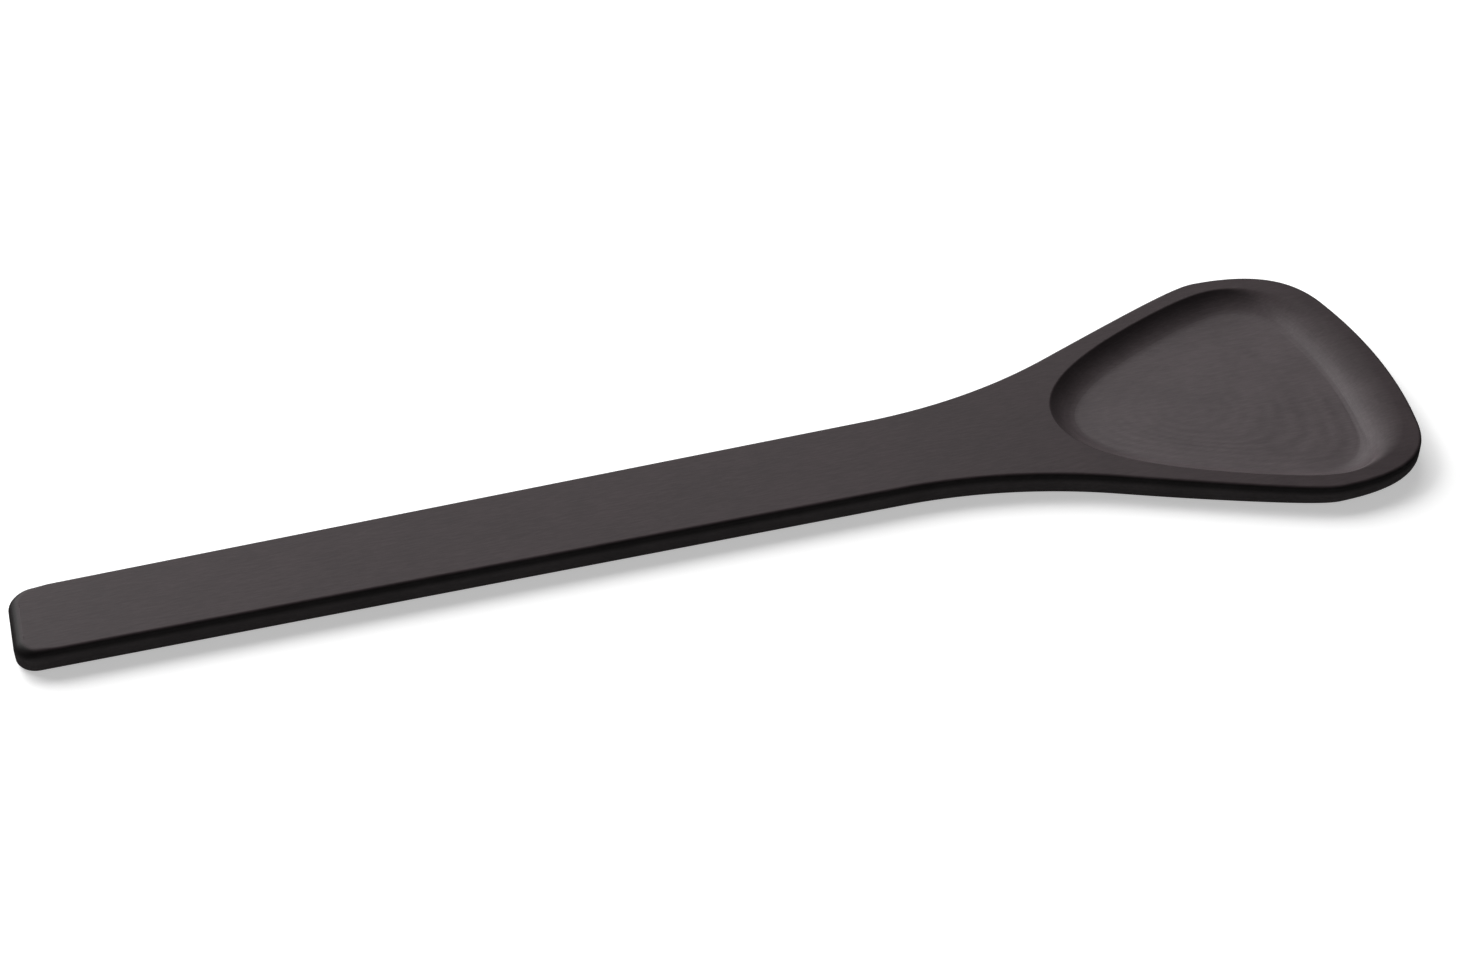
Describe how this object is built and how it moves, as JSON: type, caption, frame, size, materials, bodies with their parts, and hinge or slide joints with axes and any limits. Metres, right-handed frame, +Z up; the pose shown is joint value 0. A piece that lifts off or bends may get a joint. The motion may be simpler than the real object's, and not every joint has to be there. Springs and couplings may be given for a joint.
{
  "type": "mixing spoon",
  "caption": "Long flat mixing spoon with a tapering handle, a flared head and a shallow routed bowl, cut from dark matte fibre laminate.",
  "frame": {"origin": "middle of the spoon's length and width, on the flat underside it rests on", "axes": "+X along the handle towards the bowl's tip, +Y to the left seen from the handle end, +Z up, out of the bowl"},
  "size_m": [0.34, 0.0868, 0.0063],
  "materials": {
    "fibre_laminate": "matte"
  },
  "bodies": {
    "root": {"bottom_face_sheet": "fibre_laminate", "core_sheet_02": "fibre_laminate", "core_sheet_03": "fibre_laminate", "core_sheet_04": "fibre_laminate", "core_sheet_05": "fibre_laminate", "core_sheet_06": "fibre_laminate", "core_sheet_07": "fibre_laminate", "core_sheet_08": "fibre_laminate", "core_sheet_09": "fibre_laminate", "core_sheet_10": "fibre_laminate", "core_sheet_11": "fibre_laminate", "core_sheet_12": "fibre_laminate", "core_sheet_13": "fibre_laminate", "core_sheet_14": "fibre_laminate", "core_sheet_15": "fibre_laminate", "core_sheet_16": "fibre_laminate", "core_sheet_17": "fibre_laminate", "core_sheet_18": "fibre_laminate", "core_sheet_19": "fibre_laminate", "core_sheet_20": "fibre_laminate", "core_sheet_21": "fibre_laminate", "core_sheet_22": "fibre_laminate", "core_sheet_23": "fibre_laminate", "core_sheet_24": "fibre_laminate", "top_face_sheet": "fibre_laminate"}
  },
  "joints": []
}
